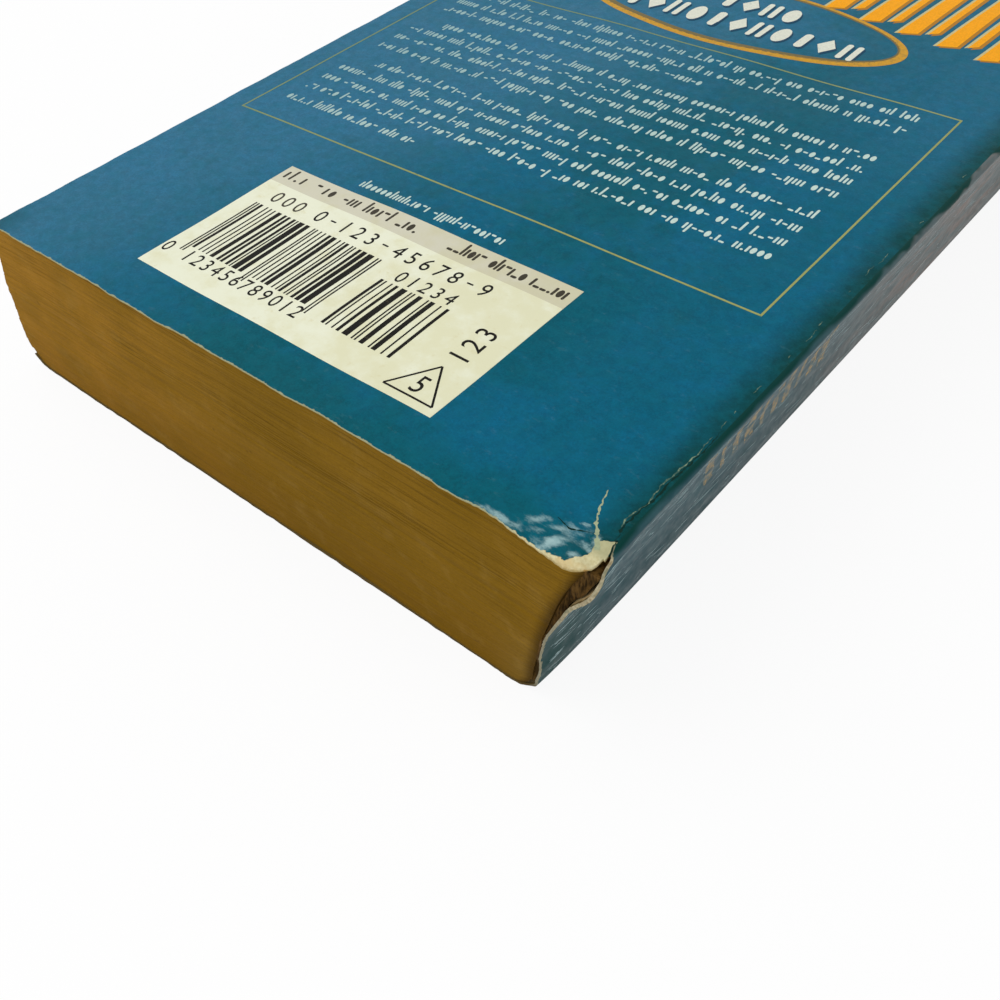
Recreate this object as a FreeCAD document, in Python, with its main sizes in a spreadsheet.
"""Paperback book, lying on its front cover, as a parametric document.

+Z is up, out of the back cover. +X runs to the spine and +Y to the head of the
book. The origin is the middle of the underside of the whole book's box. The
book is well read: its spine is rolled, so every page sits a little further to
the side than the one below it, along one large arc.
"""
import FreeCAD, Part
import math
import os

import Sketcher

# name, millimetres, what it is
SIZES = [
    ("book_height", 174.6, "head to tail"),
    ("book_thickness", 29.4, "outside of one cover to outside of the other"),
    ("page_width", 105.5, "fore-edge to spine of one page"),
    ("roll_radius", 76.0, "arc that the rolled page edges follow"),
    ("roll_depth", 5.9, "axis of that arc below the table"),
    ("card_thickness", 0.3, "cover card"),
    ("cover_gap", 0.2, "air between a cover and the pages"),
    ("glue_thickness", 0.9, "space for adhesive between pages and spine"),
    ("glue_seam", 0.05, "clearance on each side of the adhesive"),
    ("glue_relief", 1.0, "bare strip between the glue and the back fold"),
    ("back_fold_radius", 0.6, "outside of the fold at the back cover"),
    ("back_fold_land", 1.5, "back hinge line to the fold's sharp corner"),
    ("front_fold_radius", 2.6, "outside of the fold at the front cover"),
    ("front_fold_land", 3.0, "front hinge line to the fold's sharp corner"),
    ("hinge_gap", 0.1, "slit between a cover and the spine card"),
    ("fore_round", 4.0, "worn lower fore-edge of the pages"),
    ("lip_height", 1.8, "how far the front cover curls up there"),
    ("corner_round", 1.2, "free corners of the covers"),
    ("worn_corner", 4.5, "rubbed corner of the back cover at the torn fold"),
    ("tear_length", 4.2, "torn notch in the spine card, along the fold"),
    ("tear_drop", 2.0, "the same notch, down the spine"),
]

SHEET = "sizes"
ORIGIN = -1        # sketch index of the origin point and the horizontal axis
START, END, CENTRE = 1, 2, 3

# Lengths that several pieces share, written as expressions of the sheet.
INNER_SPINE = "sizes.roll_radius - sizes.glue_thickness"
GLUE_AT_PAGES = "sizes.roll_radius - sizes.glue_seam"
GLUE_AT_CARD = "sizes.roll_radius - sizes.glue_thickness + sizes.glue_seam"
OUTER_SPINE = "sizes.roll_radius - sizes.glue_thickness - sizes.card_thickness"
PAGES_FLOOR = "sizes.card_thickness + sizes.cover_gap"
PAGES_HEIGHT = "sizes.book_thickness - 2 * (sizes.card_thickness + sizes.cover_gap)"
LIP_RADIUS = "sizes.card_thickness + sizes.cover_gap + sizes.fore_round"


def arc_x(radius, height):
    """Expression for the X of a rolled face of this radius at this height."""
    rise = f"({height} + sizes.roll_depth)"
    return f"(sizes.roll_radius - sqrt(({radius}) ^ 2 - {rise} ^ 2))"


BACK_CORNER_X = arc_x(OUTER_SPINE, "sizes.book_thickness")
FRONT_CORNER_X = arc_x(OUTER_SPINE, "0")
BACK_HINGE_X = f"({BACK_CORNER_X} - sizes.back_fold_land)"
FRONT_HINGE_X = f"({FRONT_CORNER_X} - sizes.front_fold_land)"
LIP_CENTRE_X = "({} - sizes.page_width)".format(
    arc_x("sizes.roll_radius - sizes.fore_round", f"({LIP_RADIUS})"))
BACK_FORE_X = "({} - sizes.page_width)".format(arc_x("sizes.roll_radius", "sizes.book_thickness"))


def make_sheet(doc):
    sheet = doc.addObject("Spreadsheet::Sheet", SHEET)
    for row, (name, size, meaning) in enumerate(SIZES, start=1):
        sheet.set(f"A{row}", meaning)
        sheet.set(f"B{row}", str(size))
        sheet.setAlias(f"B{row}", name)
    doc.recompute()


class Profile:
    """A closed outline in the XZ plane, with sizes bound to the sheet."""

    def __init__(self, body, name, plane="XZ_Plane"):
        self.sketch = body.newObject("Sketcher::SketchObject", name)
        support = next(f for f in body.Origin.OriginFeatures if f.Role == plane)
        self.sketch.AttachmentSupport = [(support, "")]
        self.sketch.MapMode = "FlatFace"

    def value(self, expression):
        return float(self.sketch.evalExpression(expression))

    def line(self, start, end):
        points = [FreeCAD.Vector(x, z, 0) for x, z in (start, end)]
        return self.sketch.addGeometry(Part.LineSegment(*points), False)

    def arc(self, centre, radius, start, end):
        """Arc that turns anticlockwise from start to end."""
        angles = [math.atan2(z - centre[1], x - centre[0]) % math.tau for x, z in (start, end)]
        middle = FreeCAD.Vector(centre[0], centre[1], 0)
        circle = Part.Circle(middle, FreeCAD.Vector(0, 0, 1), radius)
        return self.sketch.addGeometry(Part.ArcOfCircle(circle, *angles), False)

    def fix(self, kind, *where):
        return self.sketch.addConstraint(Sketcher.Constraint(kind, *where))

    def size(self, name, kind, where, expression):
        """A dimension that follows the sheet."""
        index = self.fix(kind, *where, self.value(expression))
        self.sketch.renameConstraint(index, name)
        self.sketch.setExpression(f"Constraints.{name}", expression)

    def close(self, joins):
        for first, first_end, second, second_end in joins:
            self.fix("Coincident", first, first_end, second, second_end)


def pad_along_book(body, sketch):
    """Pad a cross-section by the height of the book, half to each side."""
    pad = body.newObject("PartDesign::Pad", body.Name + "_pad")
    pad.Profile = sketch
    pad.SideType = "Symmetric"
    pad.setExpression("Length", "sizes.book_height")
    body.Document.recompute()
    return pad


def long_edge(feature, x, z):
    """Name of the edge along Y that runs through this point of the section."""
    spot = FreeCAD.Vector(x, 0, z)
    best = None
    for number, edge in enumerate(feature.Shape.Edges, start=1):
        ends = [vertex.Point for vertex in edge.Vertexes]
        if len(ends) < 2 or abs(ends[0].y - ends[1].y) < 1.0:
            continue
        gap = max(FreeCAD.Vector(p.x, 0, p.z).distanceToPoint(spot) for p in ends)
        if best is None or gap < best[0]:
            best = (gap, f"Edge{number}")
    return best[1]


def upright_edge(feature, x_side, y_side):
    """Name of the short upright edge at one corner of a flat cover."""
    ranked = []
    for number, edge in enumerate(feature.Shape.Edges, start=1):
        ends = [vertex.Point for vertex in edge.Vertexes]
        if len(ends) == 2 and abs(ends[0].x - ends[1].x) + abs(ends[0].y - ends[1].y) < 1e-6:
            ranked.append((x_side * ends[0].x + y_side * ends[0].y, f"Edge{number}"))
    return max(ranked)[1]


def fillet(body, name, feature, edges, radius):
    rounded = body.newObject("PartDesign::Fillet", name)
    rounded.Base = (feature, edges)
    rounded.setExpression("Radius", radius)
    body.Document.recompute()
    return rounded


def make_page_block(doc):
    """All the pages, as one sheared block with a rolled spine and fore-edge."""
    body = doc.addObject("PartDesign::Body", "page_block")
    shape = Profile(body, "page_section")
    radius = shape.value("sizes.roll_radius")
    centre = (radius, -shape.value("sizes.roll_depth"))
    width = shape.value("sizes.page_width")
    fore_centre = (centre[0] - width, centre[1])
    low = shape.value(PAGES_FLOOR)
    high = low + shape.value(PAGES_HEIGHT)
    x_low = shape.value(arc_x("sizes.roll_radius", f"({PAGES_FLOOR})"))
    x_high = shape.value(arc_x("sizes.roll_radius", f"({PAGES_FLOOR} + {PAGES_HEIGHT})"))

    bottom = shape.line((x_low - width, low), (x_low, low))
    spine = shape.arc(centre, radius, (x_high, high), (x_low, low))
    top = shape.line((x_high, high), (x_high - width, high))
    fore = shape.arc(fore_centre, radius, (x_high - width, high), (x_low - width, low))
    shape.close([(bottom, END, spine, END), (spine, START, top, START),
                 (top, END, fore, START), (fore, END, bottom, START)])
    shape.fix("Horizontal", bottom)
    shape.fix("Horizontal", top)
    shape.fix("Equal", spine, fore)
    shape.fix("Horizontal", fore, CENTRE, spine, CENTRE)
    shape.size("radius", "Radius", (spine,), "sizes.roll_radius")
    shape.size("centre_x", "DistanceX", (ORIGIN, START, spine, CENTRE), "sizes.roll_radius")
    shape.size("centre_z", "DistanceY", (spine, CENTRE, ORIGIN, START), "sizes.roll_depth")
    shape.size("width", "DistanceX", (fore, CENTRE, spine, CENTRE), "sizes.page_width")
    shape.size("floor", "DistanceY", (ORIGIN, START, bottom, START), PAGES_FLOOR)
    shape.size("height", "DistanceY", (bottom, START, top, START), PAGES_HEIGHT)

    pad = pad_along_book(body, shape.sketch)
    worn = fillet(body, "worn_fore_edge", pad, [long_edge(pad, x_low - width, low)],
                  "sizes.fore_round")
    fillet(body, "spine_corner", worn, [long_edge(worn, x_low, low)],
           "sizes.front_fold_radius - sizes.card_thickness - sizes.cover_gap")
    return body


def make_spine_adhesive(doc):
    """The brown glue that holds the pages to the spine card."""
    body = doc.addObject("PartDesign::Body", "spine_adhesive")
    shape = Profile(body, "glue_section")
    low_text = "sizes.front_fold_radius"
    rise_text = ("sizes.book_thickness - sizes.card_thickness - sizes.glue_relief"
                 " - sizes.front_fold_radius")
    high_text = f"({low_text} + {rise_text})"
    low, high = shape.value(low_text), shape.value(high_text)
    page_radius, card_radius = shape.value(GLUE_AT_PAGES), shape.value(GLUE_AT_CARD)
    centre = (shape.value("sizes.roll_radius"), -shape.value("sizes.roll_depth"))
    corners = {}
    for side, radius in (("page", GLUE_AT_PAGES), ("card", GLUE_AT_CARD)):
        corners[side, "low"] = (shape.value(arc_x(radius, low_text)), low)
        corners[side, "high"] = (shape.value(arc_x(radius, high_text)), high)

    pages = shape.arc(centre, page_radius, corners["page", "high"], corners["page", "low"])
    card = shape.arc(centre, card_radius, corners["card", "high"], corners["card", "low"])
    bottom = shape.line(corners["page", "low"], corners["card", "low"])
    top = shape.line(corners["page", "high"], corners["card", "high"])
    shape.close([(bottom, START, pages, END), (bottom, END, card, END),
                 (top, START, pages, START), (top, END, card, START)])
    shape.fix("Horizontal", bottom)
    shape.fix("Horizontal", top)
    shape.fix("Coincident", pages, CENTRE, card, CENTRE)
    shape.size("page_radius", "Radius", (pages,), GLUE_AT_PAGES)
    shape.size("card_radius", "Radius", (card,), GLUE_AT_CARD)
    shape.size("centre_x", "DistanceX", (ORIGIN, START, pages, CENTRE), "sizes.roll_radius")
    shape.size("centre_z", "DistanceY", (pages, CENTRE, ORIGIN, START), "sizes.roll_depth")
    shape.size("floor", "DistanceY", (ORIGIN, START, bottom, START), low_text)
    shape.size("height", "DistanceY", (bottom, START, top, START), rise_text)
    pad_along_book(body, shape.sketch)
    return body


def make_spine_cover(doc):
    """The strip of card round the spine, from one hinge line to the other."""
    body = doc.addObject("PartDesign::Body", "spine_cover")
    shape = Profile(body, "spine_section")
    card = shape.value("sizes.card_thickness")
    tall = shape.value("sizes.book_thickness")
    outer_radius, inner_radius = shape.value(OUTER_SPINE), shape.value(INNER_SPINE)
    centre = (shape.value("sizes.roll_radius"), -shape.value("sizes.roll_depth"))
    x_back, x_front = shape.value(BACK_HINGE_X), shape.value(FRONT_HINGE_X)
    outer_top = (shape.value(BACK_CORNER_X), tall)
    outer_foot = (shape.value(FRONT_CORNER_X), 0.0)
    inner_top_x = arc_x(INNER_SPINE, "(sizes.book_thickness - sizes.card_thickness)")
    inner_foot_x = arc_x(INNER_SPINE, "sizes.card_thickness")
    inner_top = (shape.value(inner_top_x), tall - card)
    inner_foot = (shape.value(inner_foot_x), card)

    outer = shape.arc(centre, outer_radius, outer_top, outer_foot)
    foot = shape.line(outer_foot, (x_front, 0.0))
    front_end = shape.line((x_front, 0.0), (x_front, card))
    foot_inside = shape.line((x_front, card), inner_foot)
    inner = shape.arc(centre, inner_radius, inner_top, inner_foot)
    top_inside = shape.line(inner_top, (x_back, tall - card))
    back_end = shape.line((x_back, tall - card), (x_back, tall))
    top = shape.line((x_back, tall), outer_top)
    shape.close([(outer, END, foot, START), (foot, END, front_end, START),
                 (front_end, END, foot_inside, START), (foot_inside, END, inner, END),
                 (inner, START, top_inside, START), (top_inside, END, back_end, START),
                 (back_end, END, top, START), (top, END, outer, START)])
    for flat in (foot, foot_inside, top_inside, top):
        shape.fix("Horizontal", flat)
    for end in (front_end, back_end):
        shape.fix("Vertical", end)
    shape.fix("Coincident", outer, CENTRE, inner, CENTRE)
    shape.fix("PointOnObject", foot, START, ORIGIN)
    shape.size("outer_radius", "Radius", (outer,), OUTER_SPINE)
    shape.size("inner_radius", "Radius", (inner,), INNER_SPINE)
    shape.size("centre_x", "DistanceX", (ORIGIN, START, outer, CENTRE), "sizes.roll_radius")
    shape.size("centre_z", "DistanceY", (outer, CENTRE, ORIGIN, START), "sizes.roll_depth")
    shape.size("front_card", "DistanceY", (front_end, START, front_end, END),
               "sizes.card_thickness")
    shape.size("back_card", "DistanceY", (back_end, START, back_end, END),
               "sizes.card_thickness")
    shape.size("height", "DistanceY", (ORIGIN, START, top, START), "sizes.book_thickness")
    shape.size("front_land", "DistanceX", (foot, END, foot, START), "sizes.front_fold_land")
    shape.size("back_land", "DistanceX", (top, START, top, END), "sizes.back_fold_land")

    feature = pad_along_book(body, shape.sketch)
    folds = [
        ("front_fold_outside", outer_foot, "sizes.front_fold_radius"),
        ("front_fold_inside", inner_foot, "sizes.front_fold_radius - sizes.card_thickness"),
        ("back_fold_outside", outer_top, "sizes.back_fold_radius"),
        ("back_fold_inside", inner_top, "sizes.back_fold_radius - sizes.card_thickness"),
    ]
    for name, corner, radius in folds:
        feature = fillet(body, name, feature, [long_edge(feature, *corner)], radius)
    return cut_tear(body)


def cut_tear(body):
    """Take the torn corner out of the spine card, at the tail of the back fold."""
    before = body.Shape.Volume
    shape = Profile(body, "tear_outline", "YZ_Plane")
    tail = -shape.value("sizes.book_height") / 2
    tall = shape.value("sizes.book_thickness")
    length, drop = shape.value("sizes.tear_length"), shape.value("sizes.tear_drop")
    down = shape.line((tail, tall), (tail, tall - drop))
    slope = shape.line((tail, tall - drop), (tail + length, tall))
    along = shape.line((tail + length, tall), (tail, tall))
    shape.close([(down, END, slope, START), (slope, END, along, START),
                 (along, END, down, START)])
    shape.fix("Vertical", down)
    shape.fix("Horizontal", along)
    shape.size("tail", "DistanceX", (down, START, ORIGIN, START), "sizes.book_height / 2")
    shape.size("top", "DistanceY", (ORIGIN, START, down, START), "sizes.book_thickness")
    shape.size("drop", "DistanceY", (down, END, down, START), "sizes.tear_drop")
    shape.size("length", "DistanceX", (along, END, along, START), "sizes.tear_length")
    tear = body.newObject("PartDesign::Pocket", "tear")
    tear.Profile = shape.sketch
    tear.Type = "ThroughAll"
    tear.SideType = "Symmetric"
    body.Document.recompute()
    if not body.Shape.Volume < before:
        raise RuntimeError("the tear took nothing out of the spine card")
    return body


def make_back_cover(doc):
    """The flat cover on top, free at its fore-edge and hinged at the back fold."""
    body = doc.addObject("PartDesign::Body", "back_cover")
    shape = Profile(body, "back_section")
    card = shape.value("sizes.card_thickness")
    tall = shape.value("sizes.book_thickness")
    left = shape.value(BACK_FORE_X)
    width_text = f"{BACK_HINGE_X} - sizes.hinge_gap - {BACK_FORE_X}"
    right = left + shape.value(width_text)
    under = shape.line((left, tall - card), (right, tall - card))
    hinge_side = shape.line((right, tall - card), (right, tall))
    top = shape.line((right, tall), (left, tall))
    fore_side = shape.line((left, tall), (left, tall - card))
    shape.close([(under, END, hinge_side, START), (hinge_side, END, top, START),
                 (top, END, fore_side, START), (fore_side, END, under, START)])
    for flat in (under, top):
        shape.fix("Horizontal", flat)
    for end in (hinge_side, fore_side):
        shape.fix("Vertical", end)
    shape.size("left", "DistanceX", (under, START, ORIGIN, START), f"-{BACK_FORE_X}")
    shape.size("width", "DistanceX", (under, START, under, END), width_text)
    shape.size("card", "DistanceY", (under, END, hinge_side, END), "sizes.card_thickness")
    shape.size("height", "DistanceY", (ORIGIN, START, top, START), "sizes.book_thickness")
    pad = pad_along_book(body, shape.sketch)
    free_corners = [upright_edge(pad, -1, side) for side in (-1, 1)]
    rounded = fillet(body, "back_free_corners", pad, free_corners, "sizes.corner_round")
    fillet(body, "rubbed_corner", rounded, [upright_edge(rounded, 1, -1)], "sizes.worn_corner")
    return body


def make_front_cover(doc):
    """The cover underneath, which curls up round the worn edge of the pages."""
    body = doc.addObject("PartDesign::Body", "front_cover")
    shape = Profile(body, "front_section")
    card = shape.value("sizes.card_thickness")
    radius = shape.value(LIP_RADIUS)
    lip = shape.value("sizes.lip_height")
    centre = (shape.value(LIP_CENTRE_X), radius)
    right = shape.value(f"{FRONT_HINGE_X} - sizes.hinge_gap")

    def lip_end(arc_radius):
        return (centre[0] - math.sqrt(arc_radius ** 2 - (radius - lip) ** 2), lip)

    outside = shape.arc(centre, radius, lip_end(radius), (centre[0], 0.0))
    inside = shape.arc(centre, radius - card, lip_end(radius - card), (centre[0], card))
    foot = shape.line((centre[0], 0.0), (right, 0.0))
    hinge_side = shape.line((right, 0.0), (right, card))
    top = shape.line((right, card), (centre[0], card))
    lip_edge = shape.line(lip_end(radius - card), lip_end(radius))
    shape.close([(outside, END, foot, START), (foot, END, hinge_side, START),
                 (hinge_side, END, top, START), (top, END, inside, END),
                 (inside, START, lip_edge, START), (lip_edge, END, outside, START)])
    for flat in (foot, top, lip_edge):
        shape.fix("Horizontal", flat)
    shape.fix("Vertical", hinge_side)
    shape.fix("Coincident", outside, CENTRE, inside, CENTRE)
    shape.fix("Vertical", outside, CENTRE, foot, START)
    shape.fix("Vertical", inside, CENTRE, top, END)
    shape.fix("PointOnObject", foot, START, ORIGIN)
    shape.size("radius", "Radius", (outside,), LIP_RADIUS)
    shape.size("card", "DistanceY", (hinge_side, START, hinge_side, END),
               "sizes.card_thickness")
    shape.size("centre_x", "DistanceX", (outside, CENTRE, ORIGIN, START), f"-{LIP_CENTRE_X}")
    shape.size("width", "DistanceX", (foot, START, foot, END),
               f"{FRONT_HINGE_X} - sizes.hinge_gap - {LIP_CENTRE_X}")
    shape.size("lip", "DistanceY", (ORIGIN, START, lip_edge, END), "sizes.lip_height")
    pad_along_book(body, shape.sketch)
    return body


def check(doc, bodies):
    """Stop on any failed feature or unsound solid."""
    for item in doc.Objects:
        if "Invalid" in item.State or "Error" in item.State:
            raise RuntimeError(f"{item.Label} failed: {item.State}")
    for body in bodies:
        shape = body.Shape
        if shape.isNull() or not shape.isValid() or len(shape.Solids) != 1:
            raise RuntimeError(f"{body.Label} is not one sound solid")


def centre_on_origin(doc, bodies):
    """Move the book sideways until the middle of its box is over the origin."""
    boxes = [body.Shape.optimalBoundingBox(False, False) for body in bodies]
    middle = (min(box.XMin for box in boxes) + max(box.XMax for box in boxes)) / 2
    for body in bodies:
        body.Placement = FreeCAD.Placement(FreeCAD.Vector(-middle, 0, 0), FreeCAD.Rotation())
    doc.recompute()
    return middle


def main():
    doc = FreeCAD.newDocument("paperback_book")
    make_sheet(doc)
    makers = [make_page_block, make_spine_adhesive, make_spine_cover, make_back_cover,
              make_front_cover]
    bodies = [make(doc) for make in makers]
    doc.recompute()
    check(doc, bodies)
    middle = centre_on_origin(doc, bodies)
    check(doc, bodies)

    os.makedirs("parts", exist_ok=True)
    for body in bodies:
        body.Shape.exportStep(os.path.join("parts", body.Label + ".step"))
        box = body.Shape.BoundBox
        print(f"{body.Label}: x {box.XMin:.3f} {box.XMax:.3f}, y {box.YMin:.3f} {box.YMax:.3f}, "
              f"z {box.ZMin:.3f} {box.ZMax:.3f}, volume {body.Shape.Volume:.1f}")
    for name, text in (("back", BACK_HINGE_X), ("front", FRONT_HINGE_X)):
        hinge_x = float(bodies[0].evalExpression(text)) - middle
        print(f"{name} hinge line at x {hinge_x:.4f}")


main()
